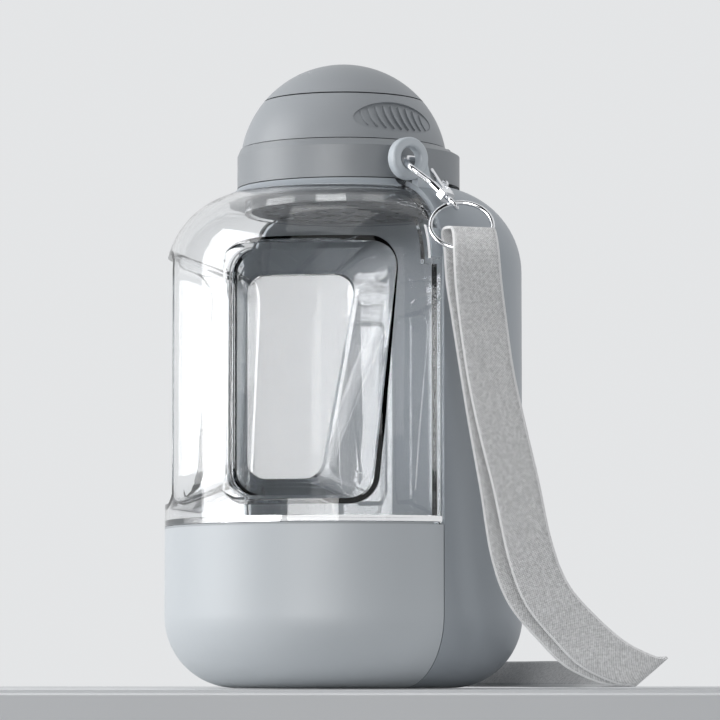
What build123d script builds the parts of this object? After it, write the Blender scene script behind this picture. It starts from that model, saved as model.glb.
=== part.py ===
# Travel water bottle and feeding bowl for a dog, in millimetres.
# Frame: front is -Y, back is +Y, up is +Z, origin on the base at the body axis.
import os
from math import asin, cos, radians, sin, sqrt
from build123d import *

os.makedirs("parts", exist_ok=True)

# outline of the body, a solid of revolution
R_BODY = 76.0
R_BASE = 30.5
R_SHOULDER = 36.0
Z_SHOULDER = 176.5
TOP_FLAT = R_BODY - R_SHOULDER
Z_TOP = Z_SHOULDER + R_SHOULDER
FAR = R_BODY + 20.0
HIGH = Z_TOP + 90.0

# walls, and how the tank nests in the shell
SHELL_T = 2.4
TANK_T = 2.2
FLOOR_T = 2.5
TANK_DROP = 1.8
INSET = 3.6
SPLIT_SHELL = -1.0
SPLIT_GAP = 0.4
SPLIT_TANK = SPLIT_SHELL - SPLIT_GAP
RIM_ROUND = 4.0


def body_face(inset, drop=0.0):
    # half section of the body, shrunk by inset, in the XZ plane
    zc = Z_SHOULDER - drop
    rb = R_BASE - inset
    rs = R_SHOULDER - inset
    r = R_BODY - inset
    k = sqrt(0.5)
    a = (r - rb, inset)
    b = (r - rb + rb * k, inset + rb * (1 - k))
    c = (r, inset + rb)
    d = (r, zc)
    e = (r - rs + rs * k, zc + rs * k)
    f = (r - rs, zc + rs)
    with BuildSketch(Plane.XZ) as section:
        with BuildLine():
            Line((0, inset), a)
            ThreePointArc(a, b, c)
            Line(c, d)
            ThreePointArc(d, e, f)
            Line(f, (0, zc + rs))
            Line((0, zc + rs), (0, inset))
        make_face()
    return section.sketch


def body_solid(inset, drop=0.0):
    with BuildPart() as solid:
        add(body_face(inset, drop))
        revolve(axis=Axis.Z)
    return solid.part


def slab(y0, y1, z0, z1, x0=-FAR, x1=FAR):
    block = Box(x1 - x0, y1 - y0, z1 - z0, mode=Mode.PRIVATE)
    return Pos((x0 + x1) / 2, (y0 + y1) / 2, (z0 + z1) / 2) * block


def rod(radius, z0, z1, y=0.0):
    return Pos(0, y, (z0 + z1) / 2) * Cylinder(radius, z1 - z0, mode=Mode.PRIVATE)


def cross_rod(radius, x0, x1, y, z):
    # rod along X, for the hinge knuckles and pins
    shape = Cylinder(radius, x1 - x0, mode=Mode.PRIVATE)
    return Pos((x0 + x1) / 2, y, z) * Rot(0, 90, 0) * shape


def plate(points, x0, x1):
    # outline of (y, z) points, with its thickness along X
    with BuildPart() as solid:
        with BuildSketch(Plane.YZ.offset(x0)):
            with BuildLine():
                Polyline(*points, close=True)
            make_face()
        extrude(amount=x1 - x0)
    return solid.part


def save(solid, name):
    solid.label = name
    export_step(solid, f"parts/{name}.step")


# finger pockets: flat floor, leaning back wall, opening outwards at this angle from the front
TANK_FOOT = 68.2
GRIP_ANGLE = 46.5
GRIP_FLOOR = R_BODY * 0.553
GRIP_RIM = R_BODY * 0.895
FLOOR_LINE = (-0.442 * R_BODY, -0.038 * R_BODY, 0.170 * R_BODY, TANK_FOOT + 18.8, Z_SHOULDER - 4.5, 8.0)
RIM_LINE = (-0.451 * R_BODY, 0.305 * R_BODY, 0.460 * R_BODY, TANK_FOOT + 9.2, Z_SHOULDER + 6.5, 10.0)
ROUND_SIDE = RIM_LINE[0] - RIM_ROUND
ROUND_DEPTH = sqrt((R_BODY - RIM_ROUND) ** 2 - ROUND_SIDE ** 2)


def pocket_face(depth, grow, left=None):
    # four-sided outline with round corners, between the floor's and the rim's, across the pocket's direction
    share = min(max((depth - GRIP_FLOOR) / (GRIP_RIM - GRIP_FLOOR), 0.0), 1.0)
    line = [a + (b - a) * share for a, b in zip(FLOOR_LINE, RIM_LINE)]
    side, right_low, right_high, low, high, corner = line
    side = side - grow if left is None else left
    a = radians(GRIP_ANGLE)
    normal = (sin(a), -cos(a), 0)
    origin = (normal[0] * depth, normal[1] * depth, 0)
    with BuildSketch(Plane(origin=origin, x_dir=(cos(a), sin(a), 0), z_dir=normal)) as outline:
        with BuildLine():
            FilletPolyline(
                (side, low - grow),
                (right_low + grow, low - grow),
                (right_high + grow, high + grow),
                (side, high + grow),
                radius=corner + grow,
                close=True,
            )
        make_face()
    return outline.sketch


def pocket_solid(grow):
    # the edge beside the grip bar is rounded in three steps, the same distance from its centre all round
    r = RIM_ROUND - grow
    faces = [pocket_face(GRIP_FLOOR - grow, grow)]
    for turn in (0, 30, 60, 90):
        angle = radians(turn)
        faces.append(pocket_face(ROUND_DEPTH + r * sin(angle), grow, ROUND_SIDE + r * cos(angle)))
    far_side = ROUND_SIDE - RIM_ROUND
    flare = pocket_face(ROUND_DEPTH + r, grow, far_side)
    rim = pocket_face(GRIP_RIM, grow, far_side)
    with BuildPart() as cutter:
        loft(faces, ruled=True)
        loft([flare, rim], ruled=True)
        extrude(rim, amount=FAR - GRIP_RIM)
    return cutter.part


def both_sides(solid):
    return solid + solid.mirror(Plane.YZ)


hull = body_solid(0.0)
hull_tank = body_solid(0.0, TANK_DROP)
hull_nest = body_solid(INSET)
hull_nest_void = body_solid(INSET + TANK_T)

# clips that hold shell and tank together: tongues on the shell, slots in the tank
CLIP_LOW = Z_SHOULDER + 1.0
CLIP_HIGH = Z_SHOULDER + 13.0
CLIP_REACH = 5.0
CLIP_FIT = 1.0
TONGUE_OUT = 1.8
TONGUE_IN = 3.2
CLIP_END = SPLIT_SHELL - CLIP_REACH


def section_bar(inset_out, inset_in, grow, y0, y1):
    # straight bar along Y on the right, whose section follows the shoulder between two insets
    with BuildPart() as bar:
        with BuildSketch(Plane.XZ.offset(-y1)):
            add(body_face(inset_out))
            add(body_face(inset_in), mode=Mode.SUBTRACT)
        extrude(amount=y1 - y0)
    return bar.part & slab(y0, y1, CLIP_LOW - grow, CLIP_HIGH + grow, TOP_FLAT, FAR)


# neck and the height of what sits on it
NECK_Y = 2.5
NECK_WALL = 2.2
COLLAR_R = TOP_FLAT + 7.6
NECK_RO = COLLAR_R - 3.0
NECK_RI = NECK_RO - NECK_WALL
NECK_ROOT = Z_TOP - 9.5
NECK_TOP = Z_TOP + 10.7

# clear water tank: bulging front half, and a nested rear half that runs down behind the bowl
NEST_FRONT = SPLIT_TANK + 0.7
WELL_TOP = TANK_FOOT + FLOOR_T


def tank_blank():
    front = hull_tank & slab(-FAR, SPLIT_TANK, TANK_FOOT, HIGH)
    rear = hull_nest & (slab(SPLIT_TANK, FAR, TANK_FOOT, HIGH) + slab(NEST_FRONT, FAR, 0, TANK_FOOT))
    return front + rear - both_sides(pocket_solid(0.0))


def tank_hollow():
    back = SPLIT_TANK - TANK_T
    hollow = body_solid(TANK_T, TANK_DROP) & slab(-FAR, back, WELL_TOP, HIGH)
    hollow = hollow + (hull_nest_void & slab(back, FAR, WELL_TOP, HIGH))
    hollow = hollow + (hull_nest_void & slab(NEST_FRONT + TANK_T, FAR, 0, WELL_TOP))
    slot_wall = section_bar(0.0, INSET + TANK_T, CLIP_FIT + TANK_T, CLIP_END - CLIP_FIT - TANK_T, SPLIT_SHELL)
    hollow = hollow - both_sides(slot_wall)
    hollow = hollow - both_sides(pocket_solid(TANK_T))
    return hollow + rod(NECK_RO, NECK_ROOT, HIGH, NECK_Y)


SLOT_OUT = TONGUE_OUT - 0.4
SLOT_IN = INSET + 0.3
clip_slots = both_sides(section_bar(SLOT_OUT, SLOT_IN, CLIP_FIT, CLIP_END - CLIP_FIT, SPLIT_TANK))
tank_whole = tank_blank() - tank_hollow() - clip_slots
save(tank_whole & slab(-FAR, SPLIT_TANK, 0, HIGH), "tank")
save(tank_whole & slab(SPLIT_TANK, FAR, -1, HIGH), "tank_back")
save(rod(NECK_RO, NECK_ROOT, NECK_TOP, NECK_Y) - rod(NECK_RI, NECK_ROOT, NECK_TOP, NECK_Y), "neck")

# rear shell, used as the water trough
COLLAR_ROOM = 0.9
shell_solid = hull & slab(SPLIT_SHELL, FAR, -1, HIGH)
shell_solid = shell_solid - body_solid(SHELL_T) - rod(COLLAR_R + COLLAR_ROOM, NECK_ROOT, HIGH, NECK_Y)
save(shell_solid, "back_shell")

# tongues that hold the shell on the tank
CLIP_ROOT = SPLIT_SHELL + 4.0
clip_right = section_bar(TONGUE_OUT, TONGUE_IN, 0.0, CLIP_END, CLIP_ROOT) - shell_solid
save(clip_right, "clip_right")
save(clip_right.mirror(Plane.YZ), "clip_left")

# lug for the hook: a rounded ring on a foot that stands on the shell's shoulder
LUG_R = 9.0
LUG_HOLE = 4.8
LUG_T = 5.2
LUG_EDGE = 1.3
LUG_FOOT_T = LUG_T - 1.0
lug = Vector(TOP_FLAT + 15.0, -4.5, Z_TOP + 7.5)
foot_line = [(3.55, -20.0), (3.55, -7.6), (-3.5, -6.0), (7.0, 4.0), (10.0, -7.0), (18.5, -20.0)]
with BuildPart() as lug_ring:
    with BuildSketch(Plane.XZ):
        with Locations(((LUG_R + LUG_HOLE) / 2, 0)):
            RectangleRounded(LUG_R - LUG_HOLE, LUG_T, LUG_EDGE)
    revolve(axis=Axis.Z)
foot = plate([(lug.Y + y, lug.Z + z) for y, z in foot_line], lug.X - LUG_FOOT_T / 2, lug.X + LUG_FOOT_T / 2)
foot = foot - cross_rod(LUG_HOLE + LUG_EDGE, lug.X - LUG_T, lug.X + LUG_T, lug.Y, lug.Z)
lug_body = Pos(lug.X, lug.Y, lug.Z) * Rot(0, 90, 0) * lug_ring.part + foot
save(lug_body - hull, "strap_lug")

# food bowl in front, open at the top, hung from two T runners under the tank
BOWL_TOP = TANK_FOOT - 1.2
BOWL_T = 2.2
RAIL_X = R_BODY - 26.0
RAIL_FRONT = 30.0 - R_BODY
RAIL_BACK = SPLIT_TANK - 1.6
RAIL_FIT = 0.4
NECK_HALF = 1.5
HEAD_HALF = 4.0
HEAD_LOW = TANK_FOOT - 4.2
HEAD_TOP = TANK_FOOT - 2.4
BLOCK_HALF = HEAD_HALF + 2.6
bowl_hull = hull & slab(-FAR, SPLIT_TANK, -1, BOWL_TOP)
bowl = bowl_hull - (body_solid(BOWL_T) & slab(-FAR, SPLIT_TANK - BOWL_T, -1, HIGH))
for side in (1, -1):
    x = side * RAIL_X
    bowl = bowl + (bowl_hull & slab(RAIL_FRONT - 14, SPLIT_TANK, HEAD_LOW - 2.4, BOWL_TOP, x - BLOCK_HALF, x + BLOCK_HALF))
for side in (1, -1):
    x = side * RAIL_X
    head = HEAD_HALF + RAIL_FIT
    neck = NECK_HALF + RAIL_FIT
    bowl = bowl - slab(RAIL_FRONT - 2, -SPLIT_TANK, HEAD_LOW - RAIL_FIT, HEAD_TOP + RAIL_FIT, x - head, x + head)
    bowl = bowl - slab(RAIL_FRONT - 2, -SPLIT_TANK, HEAD_TOP, TANK_FOOT, x - neck, x + neck)
save(bowl, "food_bowl")
for side, name in ((1, "runner_right"), (-1, "runner_left")):
    x = side * RAIL_X
    runner = slab(RAIL_FRONT, RAIL_BACK, HEAD_TOP, TANK_FOOT, x - NECK_HALF, x + NECK_HALF)
    runner = runner + slab(RAIL_FRONT, RAIL_BACK, HEAD_LOW, HEAD_TOP, x - HEAD_HALF, x + HEAD_HALF)
    save(runner, name)

# soft seal on the bowl's curved rim
SEAL_T = 0.9
SEAL_WALL = 1.7
SEAL_END = SPLIT_TANK - 4.6
save((hull & slab(-FAR, SEAL_END, BOWL_TOP, BOWL_TOP + SEAL_T)) - body_solid(SEAL_WALL), "bowl_seal")

# grey skirt round the front of the neck, flared where it meets the shoulder
SKIRT_END = SPLIT_TANK - 4.1
SKIRT_LOW = Z_TOP - 8.5
SKIRT_IN = NECK_RO + 0.6
SKIRT_OUT = COLLAR_R + 4.6
SKIRT_CLEAR = 0.05
with BuildPart() as neck_skirt:
    with BuildSketch(Plane.XZ):
        with BuildLine():
            Line((SKIRT_IN, SKIRT_LOW), (SKIRT_IN, Z_TOP))
            Line((SKIRT_IN, Z_TOP), (COLLAR_R, Z_TOP))
            ThreePointArc((COLLAR_R, Z_TOP), (COLLAR_R + 1.7, Z_TOP - 1.8), (SKIRT_OUT, Z_TOP - 3.0))
            Line((SKIRT_OUT, Z_TOP - 3.0), (SKIRT_OUT, SKIRT_LOW))
            Line((SKIRT_OUT, SKIRT_LOW), (SKIRT_IN, SKIRT_LOW))
        make_face()
    revolve(axis=Axis.Z)
skirt_cut = body_solid(-SKIRT_CLEAR, TANK_DROP) + slab(SKIRT_END, FAR, 0, HIGH)
save((Pos(0, NECK_Y, 0) * neck_skirt.part) - skirt_cut, "neck_skirt")

# flat washer on the neck rim
WASHER_LOW = NECK_TOP + 0.3
WASHER_TOP = WASHER_LOW + 1.0
CAP_SEAT = WASHER_TOP + 0.3
washer = rod(NECK_RO - 0.2, WASHER_LOW, WASHER_TOP, NECK_Y) - rod(NECK_RI + 0.2, WASHER_LOW, WASHER_TOP, NECK_Y)
save(washer, "cap_washer")

# sizes of the dome, which sits on the collar's leaning top edge
Z_COLLAR = Z_TOP + 0.4
Z_COLLAR_EDGE = Z_COLLAR + 13.6
Z_COLLAR_TOP = Z_COLLAR + 16.5
DOME_R = COLLAR_R - 3.3
DOME_Z = Z_TOP + 9.5
DOME_CUT = Z_COLLAR_TOP + 0.4
DOME_SEAM = DOME_Z + DOME_R * 0.634
SEAM_GAP = 0.6
SKIN = 2.2
MOUTH_R = DOME_R - 8.3

# hinge of the dome: pin, one knuckle on the dome and one each side on the collar
PIN_Y = DOME_R + 0.2
PIN_Z = Z_COLLAR_TOP + 0.1
PIN_R = 1.2
PIN_FIT = 0.08
KNUCKLE_R = 2.4
KNUCKLE_GAP = 0.35
INNER_HALF = 6.5
OUTER_KNUCKLE = (7.0, 14.0)
PIN_HALF = 14.4


def outer_knuckles(radius, gap=0.0):
    near, far = OUTER_KNUCKLE
    return both_sides(cross_rod(radius, near - gap, far + gap, PIN_Y, PIN_Z))


# screw collar: straight wall, leaning edge up to the dome's circle, seal groove round the mouth
GROOVE_IN = MOUTH_R + 2.0
GROOVE_OUT = MOUTH_R + 5.0
GROOVE_DEEP = 1.6
with BuildPart() as collar_blank:
    with BuildSketch(Plane.XY.offset(Z_COLLAR)):
        with Locations((0, NECK_Y)):
            Circle(COLLAR_R)
    extrude(amount=Z_COLLAR_EDGE - Z_COLLAR)
    with BuildSketch(Plane.XY.offset(Z_COLLAR_EDGE)):
        with Locations((0, NECK_Y)):
            Circle(COLLAR_R)
    with BuildSketch(Plane.XY.offset(Z_COLLAR_TOP)):
        Circle(DOME_R - 0.1)
    loft(ruled=True)
collar = collar_blank.part + outer_knuckles(KNUCKLE_R)
collar = collar - rod(NECK_RO + 0.6, NECK_ROOT, CAP_SEAT, NECK_Y) - rod(MOUTH_R, NECK_ROOT, HIGH)
groove = rod(GROOVE_OUT, Z_COLLAR_TOP - GROOVE_DEEP, HIGH) - rod(GROOVE_IN, Z_COLLAR_TOP - GROOVE_DEEP, HIGH)
collar = collar - (groove & slab(-FAR, FAR, 0, Z_COLLAR_TOP + 1.0))
near = OUTER_KNUCKLE[0]
collar = collar - cross_rod(KNUCKLE_R + KNUCKLE_GAP, -near, near, PIN_Y, PIN_Z)
collar = collar - cross_rod(PIN_R, -PIN_HALF, PIN_HALF, PIN_Y, PIN_Z)
save(collar, "cap_collar")
seal_low = Z_COLLAR_TOP - GROOVE_DEEP
seal_top = seal_low + GROOVE_DEEP - 0.1
save(rod(GROOVE_OUT - 0.1, seal_low, seal_top) - rod(GROOVE_IN + 0.1, seal_low, seal_top), "cap_seal")
save(cross_rod(PIN_R, -PIN_HALF, PIN_HALF, PIN_Y, PIN_Z), "dome_pin")

# strainer basket that hangs from the collar into the neck, with rings of round holes
BASKET_R = NECK_RI - 0.8
BASKET_WALL = 1.8
BASKET_LOW = Z_TOP - 8.5
BASKET_FLOOR = 2.0
HOLE_R = 3.0
HOLE_RINGS = ((0.29, 6), (0.553, 12), (0.793, 18))
with BuildPart() as strainer:
    add(rod(BASKET_R, BASKET_LOW, CAP_SEAT, NECK_Y))
    add(rod(BASKET_R - BASKET_WALL, BASKET_LOW + BASKET_FLOOR, HIGH, NECK_Y), mode=Mode.SUBTRACT)
    with BuildSketch(Plane.XY.offset(BASKET_LOW)):
        with Locations((0, NECK_Y)):
            Circle(HOLE_R)
            for share, count in HOLE_RINGS:
                with PolarLocations(BASKET_R * share, count):
                    Circle(HOLE_R)
    extrude(amount=BASKET_FLOOR, mode=Mode.SUBTRACT)
save(strainer.part, "strainer")


def ball(radius):
    return Pos(0, 0, DOME_Z) * Sphere(radius, mode=Mode.PRIVATE)


def layer(z0, z1):
    return slab(-FAR, FAR, z0, z1)


# oval finger grips on both sides of the dome's band, each a shallow dish with nine leaning ribs
OVAL_HALF = (DOME_R * 0.44, 7.2)
DISH_DEEP = 1.6
DISH_R = DOME_R * 1.35
PAD_T = 2.0
PAD_RISE = 3.2
RIB_COUNT = 9
RIB_PITCH = DOME_R * 0.0835
RIB_HALF = 5.6
RIB_LEAN = 0.26
RIB_BOW = (1.4, 0.1)
RIB_LOW = 0.25
OVAL_NEAR = DOME_R * 0.8
OVAL_FAR = DOME_R * 1.1
oval_rise = asin(0.4)
oval_plane = Plane(origin=(0, 0, DOME_Z), x_dir=(0, 1, 0), z_dir=(cos(oval_rise), 0, sin(oval_rise)))


def oval_prism(half_width, half_height):
    with BuildPart() as prism:
        with BuildSketch(oval_plane.offset(OVAL_NEAR)):
            Ellipse(half_width, half_height)
        extrude(amount=OVAL_FAR - OVAL_NEAR)
    return prism.part


def rib_prism(x, half):
    # crescent outline between two arcs that share their ends
    top = (x - RIB_LEAN * half, half)
    low = (x + RIB_LEAN * half, -half)
    bow = half / RIB_HALF
    with BuildPart() as prism:
        with BuildSketch(oval_plane.offset(OVAL_NEAR)):
            with BuildLine():
                ThreePointArc(top, (x - RIB_BOW[0] * bow, 0), low)
                ThreePointArc(low, (x - RIB_BOW[1] * bow, 0), top)
            make_face()
        extrude(amount=OVAL_FAR - OVAL_NEAR)
    return prism.part


dish_centre = oval_plane.offset(DOME_R - DISH_DEEP - DISH_R).origin
dish = oval_prism(*OVAL_HALF) - Pos(*dish_centre) * Sphere(DISH_R, mode=Mode.PRIVATE)
dish_floor = Pos(*dish_centre) * Sphere(DISH_R - 0.5, mode=Mode.PRIVATE)
pad = oval_prism(OVAL_HALF[0], OVAL_HALF[1] - 0.2)
pad = (pad & ball(DOME_R - SKIN / 2) & layer(DOME_CUT + PAD_RISE, HIGH)) - ball(DOME_R - SKIN - PAD_T)
ribs = []
for i in range(RIB_COUNT):
    x = (i - (RIB_COUNT - 1) / 2) * RIB_PITCH
    half = RIB_HALF * sqrt(1 - (x / OVAL_HALF[0]) ** 2)
    ribs.append((rib_prism(x, half) & ball(DOME_R - RIB_LOW)) - dish_floor)

# hinge of the flip lid on the band's top edge
SEAM_R = sqrt(DOME_R ** 2 - (DOME_SEAM - DOME_Z) ** 2)
TOP_KNUCKLE_R = 1.9
TOP_PIN_R = 0.9
TOP_PIN_Y = SEAM_R - TOP_KNUCKLE_R
TOP_PIN_Z = DOME_SEAM + 0.3
TOP_INNER_HALF = 4.8
EAR = (5.2, 9.6)

# lower band of the dome with its deck
BAND_TOP = DOME_SEAM - SEAM_GAP + 0.2
DECK_LOW = DOME_SEAM - 3.1
SPOUT_R = 10.0
SPOUT_T = 1.8
band_void = ball(DOME_R - SKIN) & layer(0, DECK_LOW)
band = (ball(DOME_R) & layer(DOME_CUT, BAND_TOP)) - band_void
band = band + both_sides(pad) - both_sides(dish)
for rib in ribs:
    band = band + both_sides(rib)
band = band - rod(SPOUT_R, DOME_CUT, HIGH)
band = band - outer_knuckles(KNUCKLE_R + KNUCKLE_GAP, KNUCKLE_GAP)
knuckle_line = [(KNUCKLE_R * 0.5, KNUCKLE_R * 0.85), (-2.9, 6.5), (-3.3, DOME_CUT - PIN_Z + 0.2), (0.0, 0.5)]
knuckle = cross_rod(KNUCKLE_R, -INNER_HALF, INNER_HALF, PIN_Y, PIN_Z)
knuckle = knuckle + plate([(PIN_Y + y, PIN_Z + z) for y, z in knuckle_line], -INNER_HALF, INNER_HALF)
band = band + (knuckle - ball(DOME_R - SKIN))
band = band - cross_rod(PIN_R + PIN_FIT, -PIN_HALF, PIN_HALF, PIN_Y, PIN_Z)
band = band - both_sides(cross_rod(TOP_KNUCKLE_R + KNUCKLE_GAP, TOP_INNER_HALF, EAR[1] + 0.4, TOP_PIN_Y, TOP_PIN_Z))
band = band + cross_rod(TOP_KNUCKLE_R, -TOP_INNER_HALF, TOP_INNER_HALF, TOP_PIN_Y, TOP_PIN_Z)
band = band - cross_rod(TOP_PIN_R, -EAR[1], EAR[1], TOP_PIN_Y, TOP_PIN_Z)
save(band, "dome_band")

# pour spout through the deck
SPOUT_LOW = DOME_SEAM - 10.0
SPOUT_TOP = DOME_SEAM + 6.4
save(rod(SPOUT_R, SPOUT_LOW, SPOUT_TOP) - rod(SPOUT_R - SPOUT_T, SPOUT_LOW, SPOUT_TOP), "spout")

# ring inside the band that carries the lip and its seal
LIP_R = MOUTH_R - 0.8
LIP_T = 2.0
LIP_LOW = DOME_CUT - 3.4
LIP_DECK = DOME_CUT + 1.2
LIP_DECK_T = 1.8
LIP_GROOVE = 0.7
lip = rod(LIP_R, LIP_LOW, LIP_DECK) + rod(DOME_R, LIP_DECK, LIP_DECK + LIP_DECK_T)
lip = (lip - rod(LIP_R - LIP_T, LIP_LOW, HIGH)) & ball(DOME_R - SKIN)
lip_seal = rod(LIP_R + 0.4, LIP_LOW + 0.9, LIP_LOW + 2.3) - rod(LIP_R - LIP_GROOVE, LIP_LOW, HIGH)
save(lip - rod(LIP_R + 1, LIP_LOW + 0.8, LIP_LOW + 2.4) + rod(LIP_R - LIP_GROOVE, LIP_LOW, LIP_DECK)
     - rod(LIP_R - LIP_T, LIP_LOW, HIGH), "dome_lip")
save(lip_seal, "dome_seal")

# flip lid on top of the dome: skin, plug for the spout, nail notch in front and two hinge ears
PLUG_R = SPOUT_R - SPOUT_T - 0.6
NOTCH_R = DOME_R * 0.45
NOTCH_W = 1.2
NOTCH_HALF = 5.2
NOTCH_DEEP = 0.9
ear_line = [(1.55, 0.5), (-1.15, 4.1), (-3.75, 4.1), (-1.95, 0.2)]
lid = (ball(DOME_R) & layer(DOME_SEAM + 0.2, HIGH)) - ball(DOME_R - SKIN)
lid = lid + (rod(PLUG_R, SPOUT_TOP - 2.5, HIGH) & ball(DOME_R - SKIN / 2))
notch = rod(NOTCH_R + NOTCH_W, DOME_SEAM, HIGH) - rod(NOTCH_R, DOME_SEAM, HIGH)
lid = lid - ((notch & slab(-FAR, 0, DOME_SEAM, HIGH, -NOTCH_HALF, NOTCH_HALF)) - ball(DOME_R - NOTCH_DEEP))
lid = lid - cross_rod(TOP_KNUCKLE_R + KNUCKLE_GAP, -EAR[0] + 0.2, EAR[0] - 0.2, TOP_PIN_Y, TOP_PIN_Z)
ear = plate([(TOP_PIN_Y + y, TOP_PIN_Z + z) for y, z in ear_line], *EAR) & ball(DOME_R)
lid = lid + both_sides(ear + cross_rod(TOP_KNUCKLE_R, *EAR, TOP_PIN_Y, TOP_PIN_Z))
lid = lid - cross_rod(TOP_PIN_R + PIN_FIT, -EAR[1], EAR[1], TOP_PIN_Y, TOP_PIN_Z)
save(lid, "dome_top")
save(cross_rod(TOP_PIN_R, -EAR[1], EAR[1], TOP_PIN_Y, TOP_PIN_Z), "top_pin")

# directions of the hanging clasp and strap: SIDE runs along the shell's right side, FACE away from it
HANG_ANGLE = radians(56.0)
FACE = Vector(sin(HANG_ANGLE), -cos(HANG_ANGLE), 0.0)
SIDE = Vector(cos(HANG_ANGLE), sin(HANG_ANGLE), 0.0)


def at(u, w, z):
    # step of u along SIDE, w along FACE and z up
    return SIDE * u + FACE * w + Vector(0, 0, z)


# plane of the hook, from the swivel's eye up to the lug
HOOK_R = 1.3
GATE_R = 1.0
EYE_R = 2.6
EYE_WIRE = 0.95
eye = lug + at(18.3, 12.1, -20.1)
arm_point = lug + Vector(5.6, -2.1, -4.8)
tip_point = lug + Vector(-4.4, 12.9, -1.6)
along = ((arm_point + tip_point) * 0.5 - eye).normalized()
across = along.cross(tip_point - arm_point).normalized() * -1
clasp = Plane(origin=eye, x_dir=along, z_dir=across)
beside = clasp.y_dir
BASE_LOW = 3.9
BASE_TOP = 7.3
GATE_AT = (9.0, -2.5)
GATE_PIN_R = 0.6
STEM_R = 1.0


def in_clasp(a, b, c=0.0):
    return clasp.from_local_coords((a, b, c))


def disc(a, b, radius, low, high):
    # round slice of the clasp, with its axis across it
    with BuildPart() as solid:
        with BuildSketch(Plane(origin=in_clasp(a, b, low), x_dir=along, z_dir=across)):
            Circle(radius)
        extrude(amount=high - low)
    return solid.part


def bar(path, radius):
    with BuildPart() as solid:
        with BuildSketch(Plane(origin=path @ 0, z_dir=path % 0)):
            Circle(radius)
        sweep(path=path)
    return solid.part


def wire_loop(plane, ring_radius, wire_radius):
    # closed round wire in the plane
    with BuildPart() as loop:
        with BuildLine(plane):
            CenterArc((0, 0), ring_radius, 0, 360)
        start = plane.from_local_coords((ring_radius, 0, 0))
        with BuildSketch(Plane(origin=start, x_dir=plane.x_dir, z_dir=plane.y_dir)):
            Circle(wire_radius)
        sweep()
    return loop.part


# chrome hook: base block with two ears, barrel, and a wire that goes through the lug and back
hook_steps = [(6.2, -1.9, -5.0), (2.6, -2.2, -2.5), (-1.6, -1.0, -0.2), (-4.7, 2.1, 0.9), (-5.1, 7.9, 0.8),
              (-4.3, 11.9, -0.3)]
EAR_GAP = 1.3
EAR_T = 1.0
with BuildPart() as clasp_hook:
    with BuildSketch(Plane(origin=in_clasp(BASE_LOW, 0), x_dir=beside, z_dir=along)):
        RectangleRounded(6.4, 4.6, 1.0)
    extrude(amount=BASE_TOP - BASE_LOW)
    for low in (-EAR_GAP - EAR_T, EAR_GAP):
        with BuildSketch(Plane(origin=in_clasp(0, 0, low), x_dir=along, z_dir=across)):
            with Locations((GATE_AT[0] - 1.2, GATE_AT[1] + 0.4)):
                Rectangle(3.6, 2.4)
            with Locations(GATE_AT):
                Circle(1.3)
        extrude(amount=EAR_T)
    add(bar(Line(in_clasp(6.5, 1.4), in_clasp(13.0, 2.2), mode=Mode.PRIVATE), 1.6))
    hook_line = [in_clasp(12.0, 2.1), in_clasp(15.6, 3.3)] + [lug + Vector(*step) for step in hook_steps]
    add(bar(Spline(*hook_line, mode=Mode.PRIVATE), HOOK_R))
    with BuildSketch(Plane(origin=in_clasp(BASE_LOW - 1, 0), x_dir=beside, z_dir=along)):
        Circle(STEM_R + 0.1)
    extrude(amount=3.6, mode=Mode.SUBTRACT)
    add(disc(*GATE_AT, GATE_PIN_R, -3, 3), mode=Mode.SUBTRACT)
save(clasp_hook.part, "clasp_hook")
save(disc(*GATE_AT, GATE_PIN_R, -EAR_GAP - EAR_T - 0.1, EAR_GAP + EAR_T + 0.1), "gate_pin")

# gate that closes the hook, with its thumb knob
gate_tip = lug + Vector(-3.1, 14.2, -3.6)
gate_line = Line(in_clasp(*GATE_AT), gate_tip)
knob = gate_line @ 0.42
with BuildPart() as clasp_gate:
    add(disc(*GATE_AT, 1.3, -1.0, 1.0))
    add(bar(gate_line, GATE_R))
    with BuildSketch(Plane(origin=knob, z_dir=beside * -1)):
        Circle(0.8)
    extrude(amount=3.0)
    with BuildSketch(Plane(origin=knob - beside * 2.6, z_dir=beside * -1)):
        Circle(1.7)
    extrude(amount=1.3)
    add(disc(*GATE_AT, GATE_PIN_R + PIN_FIT, -3, 3), mode=Mode.SUBTRACT)
save(clasp_gate.part, "clasp_gate")

# swivel: eye round the ring's wire, stem up into the hook's base
with BuildPart() as swivel:
    add(wire_loop(Plane(origin=eye, x_dir=along, z_dir=along.cross(FACE)), EYE_R, EYE_WIRE))
    with BuildSketch(Plane(origin=in_clasp(EYE_R, 0), x_dir=beside, z_dir=along)):
        Circle(STEM_R)
    extrude(amount=3.6)
save(swivel.part, "swivel")

# ring through the swivel eye, its lower half leaning away from the shell
RING_R = 12.8
RING_WIRE = 1.0
RING_LEAN = radians(37.0)
ring_centre = eye + at(3.4, 7.4, -9.95)
ring_plane = Plane(origin=ring_centre, x_dir=SIDE, z_dir=FACE * cos(RING_LEAN) + Vector(0, 0, sin(RING_LEAN)))
save(wire_loop(ring_plane, RING_R, RING_WIRE), "strap_ring")

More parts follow.
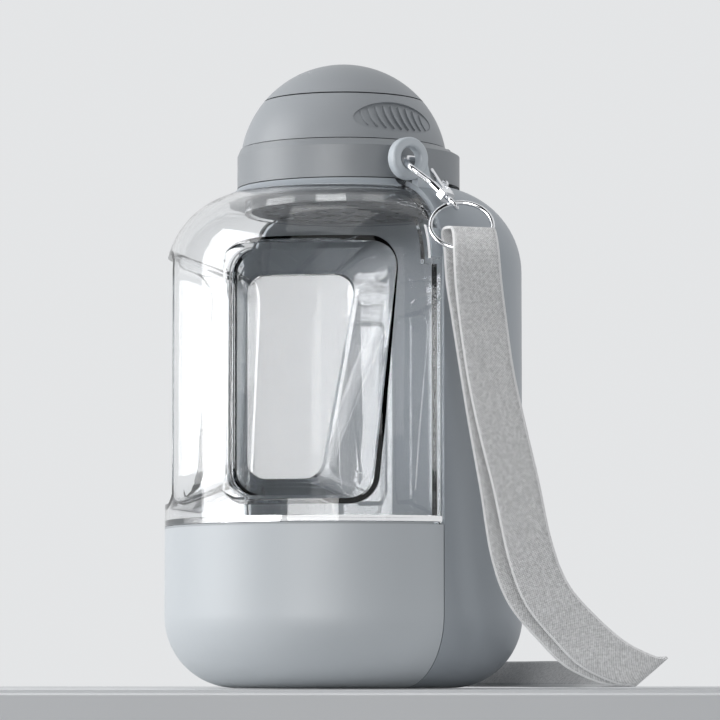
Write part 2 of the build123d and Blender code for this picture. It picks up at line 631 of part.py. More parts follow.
# webbing loop: two layers as one band, 20 wide, folded at the floor and led back behind the shell
WEB_W = 20.0
WEB_T = 3.0
WEB_TOP = ring_centre.Z - 2.75
WEB_PLANE = ring_centre.dot(FACE) + 2.6
ring_u = ring_centre.dot(SIDE)
fall = [(0.697, 1.0), (0.737, 0.887), (0.783, 0.759), (0.855, 0.598), (0.930, 0.443), (1.011, 0.284),
        (1.162, 0.173), (1.316, 0.107), (1.446, 0.057)]
line = [(u * R_BODY, z * WEB_TOP) for u, z in fall]
left_edge = []
right_edge = []
for i, (u, z) in enumerate(line):
    a = line[max(i - 1, 0)]
    b = line[min(i + 1, len(line) - 1)]
    du, dz = b[0] - a[0], b[1] - a[1]
    k = WEB_W / 2 / sqrt(du * du + dz * dz)
    left_edge.append((u + dz * k, z - du * k))
    right_edge.append((u - dz * k, z + du * k))
left_edge[0] = (ring_u - 5.6, WEB_TOP + 0.8)
right_edge[0] = (ring_u + 14.3, WEB_TOP - 0.4)
left_edge[-1] = (1.368 * R_BODY, 3.6)
right_edge[-1] = (1.492 * R_BODY, 19.6)
fold = [(1.467 * R_BODY, 0.8), (1.5605 * R_BODY, 0.6), (1.729 * R_BODY, 12.4), (1.599 * R_BODY, 14.0)]
strap_plane = Plane(origin=FACE * WEB_PLANE, x_dir=SIDE, z_dir=FACE)
with BuildPart() as web_front:
    with BuildSketch(strap_plane):
        with BuildLine():
            Spline(*left_edge)
            Polyline(left_edge[-1], *fold, right_edge[-1])
            Spline(*right_edge[::-1])
            Line(right_edge[0], left_edge[0])
        make_face()
    extrude(amount=WEB_T)
    with BuildSketch(strap_plane):
        with BuildLine():
            Polyline(left_edge[0], right_edge[0], (ring_u + 13.3, WEB_TOP - 15.2), (ring_u - 6.1, WEB_TOP - 14.2),
                     close=True)
        make_face()
    extrude(amount=2 * WEB_T)
# the tail's stations: low edge and high edge, as shares of the body's radius, with their heights
TAIL_HIGH = 10.5
tail = [((1.558, 0.941), (1.718, 0.941), 12.0), ((1.316, 0.592), (1.408, 0.408), TAIL_HIGH),
        ((1.066, 0.197), (1.105, -0.026), TAIL_HIGH), ((0.882, -0.395), (0.895, -0.618), TAIL_HIGH),
        ((0.513, -0.961), (0.474, -1.184), TAIL_HIGH)]
lows = [at(u * R_BODY, w * R_BODY, 0.5) for (u, w), _, _ in tail]
highs = [at(u * R_BODY, w * R_BODY, z) for _, (u, w), z in tail]
sections = []
for i, (low, high) in enumerate(zip(lows, highs)):
    rise = (high - low).normalized()
    run = (lows[min(i + 1, len(lows) - 1)] - lows[max(i - 1, 0)]).normalized()
    with BuildSketch(Plane(origin=low, x_dir=rise, z_dir=run - rise * run.dot(rise))) as end:
        Rectangle(WEB_W, WEB_T, align=(Align.MIN, Align.CENTER))
    sections.append(end.sketch)
with BuildPart() as web_tail:
    loft(sections, ruled=True)
ring_gap = wire_loop(ring_plane, RING_R, RING_WIRE + 0.5)
floor_cut = Pos(0, 0, -10) * Box(6 * R_BODY, 6 * R_BODY, 20.4, mode=Mode.PRIVATE)
save(web_front.part + web_tail.part - ring_gap - floor_cut, "webbing")
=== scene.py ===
# %% [markdown]
# A travel water bottle for a dog: a clear tank with two finger recesses in front, a grey food bowl
# under it, a grey shell behind it that comes off as a trough, a screw cap with a flip dome, and a
# webbing loop on a hook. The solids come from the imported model. This file gives them finishes, makes
# the webbing as cloth, and lights it.

# %% load the solids
from math import cos, pi, radians, sin
import bmesh
import bpy
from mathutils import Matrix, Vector


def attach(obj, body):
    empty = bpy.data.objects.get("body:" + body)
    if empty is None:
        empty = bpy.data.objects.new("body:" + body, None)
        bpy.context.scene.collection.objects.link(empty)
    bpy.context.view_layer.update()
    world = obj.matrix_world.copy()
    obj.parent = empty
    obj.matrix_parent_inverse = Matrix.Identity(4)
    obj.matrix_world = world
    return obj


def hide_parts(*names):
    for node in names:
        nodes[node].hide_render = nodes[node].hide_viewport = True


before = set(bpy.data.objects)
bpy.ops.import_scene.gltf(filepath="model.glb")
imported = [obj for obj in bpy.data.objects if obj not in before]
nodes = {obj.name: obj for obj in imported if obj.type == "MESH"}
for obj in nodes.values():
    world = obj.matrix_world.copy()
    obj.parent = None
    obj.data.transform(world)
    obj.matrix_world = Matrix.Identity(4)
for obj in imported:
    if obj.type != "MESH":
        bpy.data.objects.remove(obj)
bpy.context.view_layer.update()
scene = bpy.context.scene
scene.view_settings.view_transform = "Standard"
MM = 0.001
print("solids", len(nodes))

# %% [markdown]
# The camera stands low and far away with a long lens, so that the upright lines stay nearly parallel.
# Its direction is 56 degrees round from the front. FACE points from the body's axis to the camera,
# and SIDE to the camera's right.

# %% camera
VIEW_ANGLE = radians(56.0)
FACE = Vector((sin(VIEW_ANGLE), -cos(VIEW_ANGLE), 0.0))
SIDE = Vector((cos(VIEW_ANGLE), sin(VIEW_ANGLE), 0.0))
UP = Vector((0.0, 0.0, 1.0))
CAMERA_DISTANCE = 1.745
CAMERA_HEIGHT = 0.005
CAMERA_RIGHT = 0.007
CAMERA_TILT = radians(4.41)
LENS = 205.0
SENSOR_WIDTH = 36.0


def at(u, w, z):
    """A point u to the camera's right of the axis and w towards the camera, in millimetres."""
    return (SIDE * u + FACE * w + UP * z) * MM


def make_camera():
    data = bpy.data.cameras.new("camera")
    data.lens = LENS
    data.sensor_width = SENSOR_WIDTH
    data.clip_start = 0.1
    data.clip_end = 50.0
    camera = bpy.data.objects.new("camera", data)
    scene.collection.objects.link(camera)
    camera.location = SIDE * CAMERA_RIGHT + FACE * CAMERA_DISTANCE + UP * CAMERA_HEIGHT
    look = -FACE * cos(CAMERA_TILT) + UP * sin(CAMERA_TILT)
    camera.rotation_mode = "QUATERNION"
    camera.rotation_quaternion = look.to_track_quat("-Z", "Y")
    scene.camera = camera
    print("camera", [round(value, 3) for value in camera.location])


make_camera()

# %% [markdown]
# The strap is one loop of 20 mm webbing. It goes round the lower arc of the ring, hangs as two layers
# that drift apart towards the floor, turns back over a slanting fold and runs behind the bottle,
# leaning on one edge. Webbing bends only across its width, so each layer is given by its two edges at
# a few heights, and a smooth curve is drawn through them. A cloth simulation would lose the firm edges
# that make webbing look like webbing.

# %% edges of the webbing
WEB_WIDTH = 20.0
WEB_THICK = 1.1

# all places below are in millimetres, first to the camera's right and then towards the camera
# height and place of the left edge, height and place of the right edge, then depth
FRONT_LAYER = [
    (187.2, 44.7, 186.6, 62.9, 72.4),
    (179.2, 45.0, 179.2, 64.0, 76.9),
    (166.5, 45.6, 166.0, 65.2, 76.2),
    (151.5, 47.2, 152.0, 67.0, 73.6),
    (130.0, 50.2, 131.0, 69.9, 72.4),
    (107.5, 54.6, 110.5, 74.2, 72.2),
    (80.8, 61.2, 84.5, 80.2, 72.2),
    (53.6, 67.0, 60.5, 85.2, 72.2),
    (34.6, 73.9, 42.8, 91.9, 72.2),
    (18.9, 86.2, 29.5, 103.2, 72.3),
    (8.6, 96.8, 19.2, 115.0, 72.4),
    (2.4, 109.8, 13.6, 126.0, 72.4),
]
# how far the back layer lies to the left of the front one and behind it at the same heights
BACK_SHIFT = [
    (-4.4, -4.6), (-3.7, -6.6), (-3.5, -6.0), (-2.8, -4.2), (-2.5, -3.6), (-3.3, -3.8),
    (-5.2, -4.0), (-6.6, -3.8), (-6.6, -3.2), (-6.2, -2.4), (-6.0, -1.8), (-5.8, -1.5),
]
# low edge and high edge of the part that runs behind the bottle: place and depth, place, depth and height
TAIL = [
    ((107.0, 62.0), (112.0, 54.0, 12.6)),
    ((98.0, 44.0), (104.0, 31.0, 11.0)),
    ((81.0, 15.0), (86.0, -1.0, 11.0)),
    ((67.0, -30.0), (69.0, -47.0, 11.0)),
    ((39.0, -73.0), (37.0, -90.0, 11.0)),
]
# the turn over the fold: place and height of its low end and of its high end, then the depth of the
# outer and of the inner layer at three stations, and how far the stations stand out
FOLD = ((118.6, 1.0), (131.6, 12.6))
FOLD_OUTER = (72.2, 70.3, 68.2)
FOLD_INNER = (71.0, 70.3, 69.6)
FOLD_INNER_SHIFT = -3.4
FOLD_OUT = (-1.2, 0.0, -1.2)
# half the distance between the two layers behind the bottle, and the height of their low edge
LAYER_STEP = 0.8
FLOOR_RISE = 0.8


def layer_edges(behind):
    """Left and right edge points of one layer from the ring down to the fold."""
    rows = []
    for (z_left, u_left, z_right, u_right, w), (du, dw) in zip(FRONT_LAYER, BACK_SHIFT):
        move = Vector((du, dw)) if behind else Vector((0.0, 0.0))
        rows.append((at(u_left + move.x, w + move.y, z_left), at(u_right + move.x, w + move.y, z_right)))
    return rows


def fold_edges(behind):
    """The turn over the slanting fold: out, round and back, one webbing inside the other."""
    reach = FOLD_INNER_SHIFT if behind else 0.0
    depths = FOLD_INNER if behind else FOLD_OUTER
    rows = []
    for depth, out in zip(depths, FOLD_OUT):
        low = at(FOLD[0][0] + reach + out, depth, FOLD[0][1])
        high = at(FOLD[1][0] + reach + out, depth, FOLD[1][1])
        rows.append((low, high))
    return rows


def tail_edges(behind):
    """The run behind the bottle; the back layer is the inner one here."""
    step = LAYER_STEP if behind else -LAYER_STEP
    rows = []
    for (u_low, w_low), (u_high, w_high, z_high) in TAIL:
        rows.append((at(u_low, w_low + step, FLOOR_RISE), at(u_high, w_high + step, z_high)))
    return rows


# the two turns that close the loop: behind the bottle, and over the ring
LOOP_END = [(at(31.0, -79.0, FLOOR_RISE), at(28.0, -95.0, 11.0))]
RING_TURN = [(at(43.0, 69.8, 188.9), at(61.6, 69.8, 188.2))]
front = layer_edges(False) + fold_edges(False) + tail_edges(False)
back = layer_edges(True) + fold_edges(True) + tail_edges(True)
stations = front + LOOP_END + back[::-1] + RING_TURN
print("webbing stations", len(stations))

# %% [markdown]
# The mesh is a closed belt. The edge points are joined by a smooth curve that passes through each of
# them, and the space between the edges is filled with a few columns. Two skins, one webbing thick, are
# joined at the sides. The map on the mesh gives real millimetres across and along, so that the weave
# keeps its true size.

# %% webbing mesh
STEPS = 8
COLUMNS = 8


def curve_point(a, b, c, d, t):
    """A point between b and c on the smooth curve through a, b, c and d."""
    bend = 2 * a - 5 * b + 4 * c - d
    twist = 3 * b - a - 3 * c + d
    return 0.5 * (2 * b + (c - a) * t + bend * t ** 2 + twist * t ** 3)


def smooth_loop(points):
    """The closed smooth curve through the points, as STEPS points from each to the next."""
    count = len(points)
    made = []
    for i in range(count):
        a, b, c, d = (points[(i + k) % count] for k in (-1, 0, 1, 2))
        made += [curve_point(a, b, c, d, step / STEPS) for step in range(STEPS)]
    return made


def belt_rows():
    """Centre surface of the belt: one row of points across the webbing for each step along it."""
    left = smooth_loop([pair[0] for pair in stations])
    right = smooth_loop([pair[1] for pair in stations])
    return [[a.lerp(b, k / COLUMNS) for k in range(COLUMNS + 1)] for a, b in zip(left, right)]


def row_normals(rows):
    """Directions that stand square on the belt at each point of each row."""
    count = len(rows)
    normals = []
    for i, row in enumerate(rows):
        ahead, behind = rows[(i + 1) % count], rows[i - 1]
        across = (row[-1] - row[0]).normalized()
        normals.append([(ahead[k] - behind[k]).cross(across).normalized() for k in range(COLUMNS + 1)])
    return normals


def skin_rings(bm, rows):
    """One closed ring of mesh points round the webbing for each row: outer skin, then inner skin."""
    half = WEB_THICK * MM / 2
    rings = []
    for row, normal in zip(rows, row_normals(rows)):
        outer = [bm.verts.new(p + n * half) for p, n in zip(row, normal)]
        inner = [bm.verts.new(p - n * half) for p, n in zip(row, normal)]
        rings.append(outer + inner[::-1])
    return rings


def lengths_along(rows):
    """Distance from the first row to each row, and at the end the whole length, down the middle."""
    along = [0.0]
    for i in range(len(rows)):
        middle = rows[(i + 1) % len(rows)][COLUMNS // 2] - rows[i][COLUMNS // 2]
        along.append(along[-1] + middle.length)
    return along


def make_webbing():
    rows = belt_rows()
    bm = bmesh.new()
    rings = skin_rings(bm, rows)
    along = lengths_along(rows)
    place = bm.loops.layers.uv.new("weave")
    size = 2 * (COLUMNS + 1)
    for i, ring in enumerate(rings):
        following = rings[(i + 1) % len(rings)]
        for k in range(size):
            j = (k + 1) % size
            face = bm.faces.new((ring[k], ring[j], following[j], following[k]))
            face.smooth = k not in (COLUMNS, size - 1)
            columns = [c if c <= COLUMNS else size - 1 - c for c in (k, j, j, k)]
            for loop, column, far in zip(face.loops, columns, (0, 0, 1, 1)):
                loop[place].uv = (column / COLUMNS * WEB_WIDTH, along[i + far] / MM)
    bmesh.ops.recalc_face_normals(bm, faces=bm.faces)
    mesh = bpy.data.meshes.new("webbing_loop")
    bm.to_mesh(mesh)
    bm.free()
    strap = bpy.data.objects.new("webbing_loop", mesh)
    scene.collection.objects.link(strap)
    print("webbing length", round(along[-1], 4), "faces", len(mesh.polygons))
    return strap


webbing_loop = make_webbing()
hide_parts("webbing")
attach(webbing_loop, "trough")

# %% [markdown]
# A material is a small graph of nodes. These helpers make one, add nodes to it and join them,
# so that each finish below is only the few lines that make it different.

# %% helpers for materials


def new_material(name):
    material = bpy.data.materials.new(name)
    material.use_nodes = True
    tree = material.node_tree
    shader = tree.nodes["Principled BSDF"]
    return material, tree, shader


def add(tree, kind, **values):
    """A new node, with each value given to its setting or else to its input of that name."""
    node = tree.nodes.new(kind)
    for key, value in values.items():
        if hasattr(node, key):
            setattr(node, key, value)
        else:
            node.inputs[key.replace("_", " ")].default_value = value
    return node


def noise(tree, scale, detail):
    """A noise in the piece's own space, so that it stays on the piece when a joint moves."""
    place = add(tree, "ShaderNodeTexCoord")
    made = add(tree, "ShaderNodeTexNoise", Scale=scale, Detail=detail)
    tree.links.new(place.outputs["Object"], made.inputs["Vector"])
    return made


def grain(tree, shader, scale, strength, height):
    """Fine relief: a noise that tilts the surface a little."""
    bumps = noise(tree, scale, 3.0)
    bump = add(tree, "ShaderNodeBump", Strength=strength, Distance=height)
    tree.links.new(bumps.outputs["Fac"], bump.inputs["Height"])
    tree.links.new(bump.outputs["Normal"], shader.inputs["Normal"])


def vary_colour(tree, shader, low, high, scale):
    """Slow colour change over the piece, between two close tones."""
    patches = noise(tree, scale, 2.0)
    ramp = add(tree, "ShaderNodeValToRGB")
    ramp.color_ramp.elements[0].color = (*low, 1.0)
    ramp.color_ramp.elements[1].color = (*high, 1.0)
    tree.links.new(patches.outputs["Fac"], ramp.inputs["Fac"])
    tree.links.new(ramp.outputs["Color"], shader.inputs["Base Color"])


def vary_roughness(tree, shader, low, high, scale):
    """Handled surfaces are not evenly matt: a slow noise moves the roughness between two values."""
    patches = noise(tree, scale, 4.0)
    spread = add(tree, "ShaderNodeMapRange")
    spread.inputs["To Min"].default_value = low
    spread.inputs["To Max"].default_value = high
    tree.links.new(patches.outputs["Fac"], spread.inputs["Value"])
    tree.links.new(spread.outputs["Result"], shader.inputs["Roughness"])


# %% [markdown]
# The grey parts are satin polypropylene. It has a soft wide highlight, so its roughness is middling,
# and a spark-eroded grain that is too fine to see except as that softness. The bowl and the lug are
# light, and the shell, the cap and its collar are darker. The strainer and the seals are nearly black,
# apart from the paler seal on the bowl's rim.

# %% grey plastics
PLASTIC_IOR = 1.48
TONE_DRIFT = 0.02
ROUGHNESS_DRIFT = 0.04
TONE_PATCHES = 18.0
ROUGHNESS_PATCHES = 60.0
GRAIN_SCALE = 2600.0
GRAIN_STRENGTH = 0.05
GRAIN_HEIGHT = 0.04 * MM


def moulded_plastic(name, tone, roughness):
    material, tree, shader = new_material(name)
    low = tuple(c * (1.0 - TONE_DRIFT) for c in tone)
    high = tuple(c * (1.0 + TONE_DRIFT) for c in tone)
    vary_colour(tree, shader, low, high, TONE_PATCHES)
    smooth, matt = roughness - ROUGHNESS_DRIFT, roughness + ROUGHNESS_DRIFT
    vary_roughness(tree, shader, smooth, matt, ROUGHNESS_PATCHES)
    shader.inputs["IOR"].default_value = PLASTIC_IOR
    grain(tree, shader, GRAIN_SCALE, GRAIN_STRENGTH, GRAIN_HEIGHT)
    return material


bowl_grey = moulded_plastic("bowl_grey", (0.50, 0.53, 0.553), 0.42)
shell_grey = moulded_plastic("shell_grey", (0.335, 0.365, 0.395), 0.40)
cap_grey = moulded_plastic("cap_grey", (0.295, 0.312, 0.33), 0.44)
collar_grey = moulded_plastic("collar_grey", (0.25, 0.265, 0.28), 0.44)
lug_grey = moulded_plastic("lug_grey", (0.50, 0.54, 0.575), 0.32)
inner_grey = moulded_plastic("inner_grey", (0.10, 0.11, 0.12), 0.5)
seal_grey = moulded_plastic("seal_grey", (0.13, 0.135, 0.14), 0.7)
rim_grey = moulded_plastic("rim_grey", (0.36, 0.38, 0.40), 0.6)

# %% [markdown]
# The tank is clear copolyester with a polished surface. A refracting shader on both faces of its wall
# gives the bright and dark lines along each thick edge. Light has to reach what stands inside it, which
# refraction alone would hold back, so a shadow ray keeps about half of its light at each face.
# The tank is one moulding in life, but its solids are a front and a back half. Where the two meet,
# light has to go straight on, so the faces on that plane are made fully clear.

# %% clear plastic
SEAM_PLACE = max(vertex.co.y for vertex in nodes["tank"].data.vertices)
SEAM_HALF = 0.02 * MM
CLEAR_IOR = 1.45
CLEAR_ROUGHNESS = (0.0, 0.012)
SHADE_OF_A_FACE = (0.46, 0.47, 0.48, 1.0)
# slow swell of a moulded wall: cycles in a metre, strength, height
SWELL = (14.0, 0.01, 0.4 * MM)


def meeting_faces(tree):
    """1 on the plane where the halves of the tank meet, and 0 elsewhere."""
    place = add(tree, "ShaderNodeTexCoord")
    split = add(tree, "ShaderNodeSeparateXYZ")
    near = add(tree, "ShaderNodeMath", operation="COMPARE")
    near.inputs[1].default_value = SEAM_PLACE
    near.inputs[2].default_value = SEAM_HALF
    tree.links.new(place.outputs["Object"], split.inputs["Vector"])
    tree.links.new(split.outputs["Y"], near.inputs[0])
    return near.outputs["Value"]


def clear_plastic(name, tone):
    material, tree, shader = new_material(name)
    vary_colour(tree, shader, tuple(c * 0.99 for c in tone), tone, 30.0)
    vary_roughness(tree, shader, *CLEAR_ROUGHNESS, 12.0)
    grain(tree, shader, *SWELL)
    shader.inputs["IOR"].default_value = CLEAR_IOR
    shader.inputs["Transmission Weight"].default_value = 1.0
    path = add(tree, "ShaderNodeLightPath")
    open_shade = add(tree, "ShaderNodeBsdfTransparent", Color=SHADE_OF_A_FACE)
    shaded = add(tree, "ShaderNodeMixShader")
    tree.links.new(path.outputs["Is Shadow Ray"], shaded.inputs["Fac"])
    tree.links.new(shader.outputs["BSDF"], shaded.inputs[1])
    tree.links.new(open_shade.outputs["BSDF"], shaded.inputs[2])
    straight_on = add(tree, "ShaderNodeBsdfTransparent")
    joined = add(tree, "ShaderNodeMixShader")
    tree.links.new(meeting_faces(tree), joined.inputs["Fac"])
    tree.links.new(shaded.outputs["Shader"], joined.inputs[1])
    tree.links.new(straight_on.outputs["BSDF"], joined.inputs[2])
    tree.links.new(joined.outputs["Shader"], tree.nodes["Material Output"].inputs["Surface"])
    return material


clear = clear_plastic("clear_plastic", (0.985, 0.99, 0.995))

# %% [markdown]
# The hook, ring and swivel are zinc castings and wire with a bright chrome plate, and the two hinge
# pins are plain drawn steel. Plate is never quite even, so both colour and roughness drift a little.

# %% metal
# fine unevenness of the plate: cycles in a metre, strength, height
PLATE_GRAIN = (900.0, 0.03, 0.03 * MM)


def polished_metal(name, tone, low, high):
    """Metal of one tone, whose roughness drifts between low and high."""
    material, tree, shader = new_material(name)
    shader.inputs["Metallic"].default_value = 1.0
    vary_colour(tree, shader, tuple(c * 0.96 for c in tone), tone, 60.0)
    vary_roughness(tree, shader, low, high, 120.0)
    grain(tree, shader, *PLATE_GRAIN)
    return material


chrome = polished_metal("chrome", (0.84, 0.85, 0.87), 0.03, 0.09)
steel = polished_metal("steel", (0.62, 0.62, 0.64), 0.2, 0.3)

# %% [markdown]
# Webbing is woven from thick threads that run across and thin ones that run along, so its face is a
# fine rib. The rib is a wave along the strap, broken up by a second wave across it, and a little fuzz
# on top keeps the cloth from looking printed. The colour follows this relief: painted shade between
# the ribs and in low fuzz, painted highlight on the crests, so that the tone is uneven, and a brighter
# painted highlight in a line at each edge, where the crossing thread turns back.

# %% webbing cloth
RIB_PITCH = 1.05
THREAD_PITCH = 1.0
# width of the painted highlight along each edge of the strap
EDGE_HIGHLIGHT_WIDTH = 0.9
FUZZ_SCALE = 900.0
# the ribs swing from -1 to 1, and the fuzz adds this much on top of them
FUZZ_HEIGHT = 4.5
# heights at which the painted shade is darkest and the painted highlight is lightest
SHADE_HEIGHTS = (0.8, 3.6)
# painted shade in the grooves between the ribs, then painted highlight on their crests
RIB_GROOVE_SHADE = (0.42, 0.42, 0.42, 1.0)
RIB_CREST_HIGHLIGHT = (0.82, 0.82, 0.82, 1.0)
# painted highlight along each edge of the strap
EDGE_HIGHLIGHT = (0.88, 0.88, 0.88, 1.0)
RELIEF = 0.12 * MM


def wave(tree, source, pitch):
    """A wave from -1 to 1 that repeats every pitch millimetres."""
    turn = add(tree, "ShaderNodeMath", operation="MULTIPLY")
    turn.inputs[1].default_value = 2 * pi / pitch
    swing = add(tree, "ShaderNodeMath", operation="SINE")
    tree.links.new(source, turn.inputs[0])
    tree.links.new(turn.outputs["Value"], swing.inputs[0])
    return swing.outputs["Value"]


def weave_height(tree, across, along):
    """Ribs along the strap, broken up by the threads across it, with fuzz on top."""
    rib = wave(tree, along, RIB_PITCH)
    thread = wave(tree, across, THREAD_PITCH)
    weave = add(tree, "ShaderNodeMath", operation="MULTIPLY")
    tree.links.new(rib, weave.inputs[0])
    tree.links.new(thread, weave.inputs[1])
    fuzz = noise(tree, FUZZ_SCALE, 5.0)
    height = add(tree, "ShaderNodeMath", operation="MULTIPLY_ADD")
    height.inputs[1].default_value = FUZZ_HEIGHT
    tree.links.new(fuzz.outputs["Fac"], height.inputs[0])
    tree.links.new(weave.outputs["Value"], height.inputs[2])
    return height.outputs["Value"]


def edge_highlight_mask(tree, across):
    """1 on the narrow line at each edge of the strap that gets the painted highlight, and 0 between them.
    """
    middle = add(tree, "ShaderNodeMath", operation="SUBTRACT")
    middle.inputs[1].default_value = WEB_WIDTH / 2
    away = add(tree, "ShaderNodeMath", operation="ABSOLUTE")
    edge = add(tree, "ShaderNodeMath", operation="GREATER_THAN")
    edge.inputs[1].default_value = WEB_WIDTH / 2 - EDGE_HIGHLIGHT_WIDTH
    tree.links.new(across, middle.inputs[0])
    tree.links.new(middle.outputs["Value"], away.inputs[0])
    tree.links.new(away.outputs["Value"], edge.inputs[0])
    return edge.outputs["Value"]


def weave_shade_colour(tree, height, edge):
    """Painted shade between the ribs, painted highlight on them, and a brighter painted highlight at the
    edges.
    """
    spread = add(tree, "ShaderNodeMapRange")
    spread.inputs["From Min"].default_value = SHADE_HEIGHTS[0]
    spread.inputs["From Max"].default_value = SHADE_HEIGHTS[1]
    tree.links.new(height, spread.inputs["Value"])
    ramp = add(tree, "ShaderNodeValToRGB")
    ramp.color_ramp.elements[0].color = RIB_GROOVE_SHADE
    ramp.color_ramp.elements[1].color = RIB_CREST_HIGHLIGHT
    tree.links.new(spread.outputs["Result"], ramp.inputs["Fac"])
    # the colour sockets of this node have only numbers: 6 and 7 go in, 2 comes out
    mix = add(tree, "ShaderNodeMix", data_type="RGBA")
    mix.inputs[7].default_value = EDGE_HIGHLIGHT
    tree.links.new(edge, mix.inputs[0])
    tree.links.new(ramp.outputs["Color"], mix.inputs[6])
    return mix.outputs[2]


def webbing_cloth():
    material, tree, shader = new_material("webbing_cloth")
    place = add(tree, "ShaderNodeUVMap", uv_map="weave")
    split = add(tree, "ShaderNodeSeparateXYZ")
    tree.links.new(place.outputs["UV"], split.inputs["Vector"])
    height = weave_height(tree, split.outputs["X"], split.outputs["Y"])
    bump = add(tree, "ShaderNodeBump", Strength=0.7, Distance=RELIEF)
    tree.links.new(height, bump.inputs["Height"])
    tree.links.new(bump.outputs["Normal"], shader.inputs["Normal"])
    # the base colour carries the painted shade and painted highlights of the weave
    colour = weave_shade_colour(tree, height, edge_highlight_mask(tree, split.outputs["X"]))
    tree.links.new(colour, shader.inputs["Base Color"])
    shader.inputs["Roughness"].default_value = 0.85
    shader.inputs["Sheen Weight"].default_value = 0.25
    shader.inputs["Sheen Roughness"].default_value = 0.5
    return material


webbing_grey = webbing_cloth()
webbing_loop.data.materials.append(webbing_grey)

# %% [markdown]
# Each solid gets its finish here. Nothing is moved or reshaped: only the material in the solid's slot
# changes.

# %% finishes on the solids
FINISH = {
    "tank": clear,
    "tank_back": clear,
    "neck": clear,
    "neck_skirt": shell_grey,
    "runner_right": bowl_grey,
    "runner_left": bowl_grey,
    "food_bowl": bowl_grey,
    "bowl_seal": rim_grey,
    "back_shell": shell_grey,
    "clip_right": shell_grey,
    "clip_left": shell_grey,
    "strap_lug": lug_grey,
    "clasp_hook": chrome,
    "gate_pin": chrome,
    "swivel": chrome,
    "strap_ring": chrome,
    "clasp_gate": chrome,
    "webbing": webbing_grey,
    "cap_washer": seal_grey,
    "cap_collar": collar_grey,
    "cap_seal": seal_grey,
    "strainer": inner_grey,
    "dome_pin": steel,
    "top_pin": steel,
    "dome_band": cap_grey,
    "dome_lip": cap_grey,
    "dome_seal": seal_grey,
    "spout": cap_grey,
    "dome_top": cap_grey,
}
for name, material in FINISH.items():
    for slot in nodes[name].material_slots:
        slot.material = material
print("finished", len(FINISH), "of", len(nodes))

# %% [markdown]
# The room is one pale wall. The camera, mirrors and clear plastic see it at its full tone, while the
# soft light that it sheds on the object is weaker, so that the lamps can model the form.

# %% world
PALE = (0.775, 0.785, 0.795, 1.0)
SOFT_LIGHT = (0.95, 0.97, 1.0, 1.0)
SOFT_STRENGTH = 0.36


def make_world():
    world = bpy.data.worlds.new("room")
    scene.world = world
    world.use_nodes = True
    tree = world.node_tree
    tree.nodes.clear()
    path = add(tree, "ShaderNodeLightPath")
    soft = add(tree, "ShaderNodeBackground", Strength=SOFT_STRENGTH, Color=SOFT_LIGHT)
    wall = add(tree, "ShaderNodeBackground", Strength=1.0, Color=PALE)
    direct = add(tree, "ShaderNodeMath", operation="MAXIMUM")
    seen = add(tree, "ShaderNodeMath", operation="MAXIMUM")
    mix = add(tree, "ShaderNodeMixShader")
    output = add(tree, "ShaderNodeOutputWorld")
    tree.links.new(path.outputs["Is Camera Ray"], direct.inputs[0])
    tree.links.new(path.outputs["Is Transmission Ray"], direct.inputs[1])
    tree.links.new(direct.outputs["Value"], seen.inputs[0])
    tree.links.new(path.outputs["Is Glossy Ray"], seen.inputs[1])
    tree.links.new(seen.outputs["Value"], mix.inputs["Fac"])
    tree.links.new(soft.outputs["Background"], mix.inputs[1])
    tree.links.new(wall.outputs["Background"], mix.inputs[2])
    tree.links.new(mix.outputs["Shader"], output.inputs["Surface"])


make_world()

# %% [markdown]
# The light comes from the left in wide soft sheets. Dark cards, which only mirrors see, stand beside the
# camera as a photographer sets them, because chrome and clear plastic show their form by dark lines.
# Lamps and cards are placed by compass and height angle in degrees, with distances and sizes in metres.

# %% lamps and cards
MIDDLE = Vector((0.0, 0.0, 0.13))
CARD_BLACK = (0.012, 0.012, 0.013, 1.0)


def direction(azimuth, elevation):
    """Unit arrow away from the bottle; azimuth 0 is the front, and it grows towards the camera."""
    a, e = radians(azimuth), radians(elevation)
    return Vector((sin(a) * cos(e), -cos(a) * cos(e), sin(e)))


def make_lamp(name, azimuth, elevation, distance, size, power, diffuse=True):
    """A flat soft lamp that looks at the middle of the bottle."""
    data = bpy.data.lights.new(name, "AREA")
    data.shape = "RECTANGLE"
    data.size, data.size_y = size
    data.energy = power
    lamp = bpy.data.objects.new(name, data)
    scene.collection.objects.link(lamp)
    away = direction(azimuth, elevation)
    lamp.location = MIDDLE + away * distance
    lamp.rotation_mode = "QUATERNION"
    lamp.rotation_quaternion = (-away).to_track_quat("-Z", "Y")
    lamp.visible_camera = False
    lamp.visible_diffuse = diffuse


make_lamp("key", -26, 16, 1.3, (0.9, 1.2), 17.0)
make_lamp("top", 36, 66, 1.2, (0.8, 0.8), 3.2)
# softbox whose mirror image is the pale veil on the recess floor
make_lamp("veil", 37, 5, 1.9, (1.1, 0.95), 24.0, diffuse=False)
make_lamp("kicker", 128, 6, 1.5, (0.5, 0.8), 3.0)
make_lamp("fill", 84, 14, 1.7, (0.7, 0.7), 2.2)


def card_material(name):
    """Matt black, and clear for rays that have already been through the tank's plastic."""
    material, tree, shader = new_material(name)
    shader.inputs["Base Color"].default_value = CARD_BLACK
    shader.inputs["Roughness"].default_value = 1.0
    path = add(tree, "ShaderNodeLightPath")
    behind_glass = add(tree, "ShaderNodeMath", operation="GREATER_THAN")
    behind_glass.inputs[1].default_value = 0.5
    hidden = add(tree, "ShaderNodeBsdfTransparent")
    mix = add(tree, "ShaderNodeMixShader")
    tree.links.new(path.outputs["Transmission Depth"], behind_glass.inputs[0])
    tree.links.new(behind_glass.outputs["Value"], mix.inputs["Fac"])
    tree.links.new(shader.outputs["BSDF"], mix.inputs[1])
    tree.links.new(hidden.outputs["BSDF"], mix.inputs[2])
    tree.links.new(mix.outputs["Shader"], tree.nodes["Material Output"].inputs["Surface"])
    return material


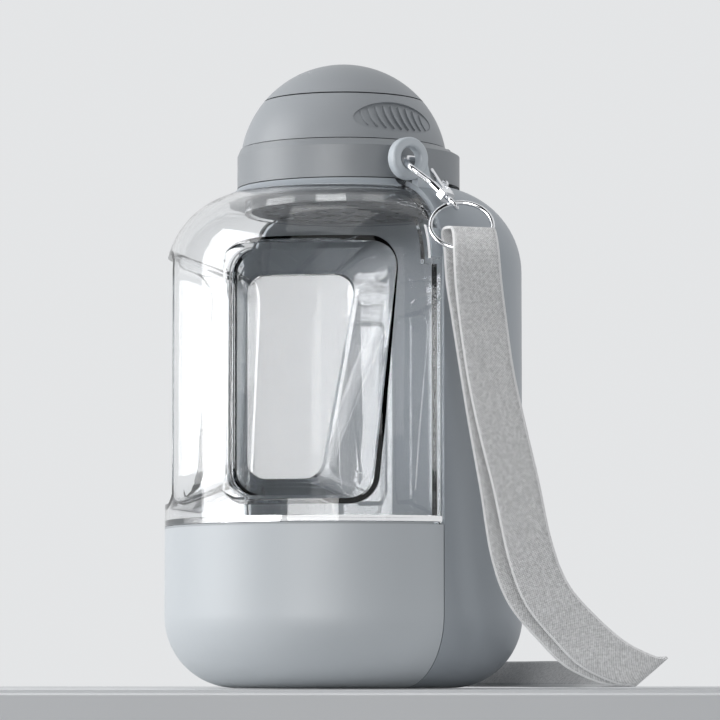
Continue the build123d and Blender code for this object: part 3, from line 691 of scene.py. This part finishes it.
def make_card(name, azimuth, elevation, distance, size):
    mesh = bpy.data.meshes.new(name)
    away = direction(azimuth, elevation)
    right = UP.cross(away).normalized()
    over = away.cross(right).normalized()
    middle = MIDDLE + away * distance
    corners = [middle + right * (x * size[0]) + over * (y * size[1])
               for x, y in ((-0.5, -0.5), (0.5, -0.5), (0.5, 0.5), (-0.5, 0.5))]
    mesh.from_pydata(corners, [], [(0, 1, 2, 3)])
    card = bpy.data.objects.new(name, mesh)
    scene.collection.objects.link(card)
    mesh.materials.append(card_material(name))
    card.visible_camera = False
    card.visible_diffuse = False
    card.visible_shadow = False
    card.visible_transmission = False


make_card("card_right", 108, 14, 1.3, (1.3, 1.7))
make_card("card_left", 9, 20, 1.3, (0.4, 1.6))
make_card("card_high", 60, 62, 1.1, (1.3, 0.7))

# %% [markdown]
# The bottle stands on a pale ledge, whose straight front face is a short way in front of it.

# %% ledge
LEDGE_FRONT = 130.0
LEDGE_BACK = -420.0
LEDGE_LONG = 1800.0
LEDGE_DEEP = 160.0
LEDGE_ROUND = 2.0
# the ledge's top lies this far under the base, so that no two faces share a plane
LEDGE_GAP = 0.4


def make_ledge():
    bm = bmesh.new()
    outline = [(LEDGE_FRONT, 0.0), (LEDGE_BACK, 0.0), (LEDGE_BACK, -LEDGE_DEEP), (LEDGE_FRONT, -LEDGE_DEEP)]
    ends = [[bm.verts.new(at(u, w, z - LEDGE_GAP)) for w, z in outline] for u in (-LEDGE_LONG, LEDGE_LONG)]
    for k in range(4):
        j = (k + 1) % 4
        bm.faces.new((ends[0][k], ends[0][j], ends[1][j], ends[1][k]))
    bm.faces.new(ends[0])
    bm.faces.new(ends[1][::-1])
    bmesh.ops.recalc_face_normals(bm, faces=bm.faces)
    long_edges = [edge for edge in bm.edges if edge.calc_length() > LEDGE_LONG * MM]
    bmesh.ops.bevel(bm, geom=long_edges, offset=LEDGE_ROUND * MM, segments=3, affect="EDGES")
    mesh = bpy.data.meshes.new("ledge")
    bm.to_mesh(mesh)
    bm.free()
    ledge = bpy.data.objects.new("ledge", mesh)
    scene.collection.objects.link(ledge)
    material, tree, shader = new_material("ledge_pale")
    vary_colour(tree, shader, (0.68, 0.69, 0.70), (0.72, 0.73, 0.74), 6.0)
    vary_roughness(tree, shader, 0.8, 0.95, 20.0)
    grain(tree, shader, 900.0, 0.1, 0.0001)
    mesh.materials.append(material)


make_ledge()
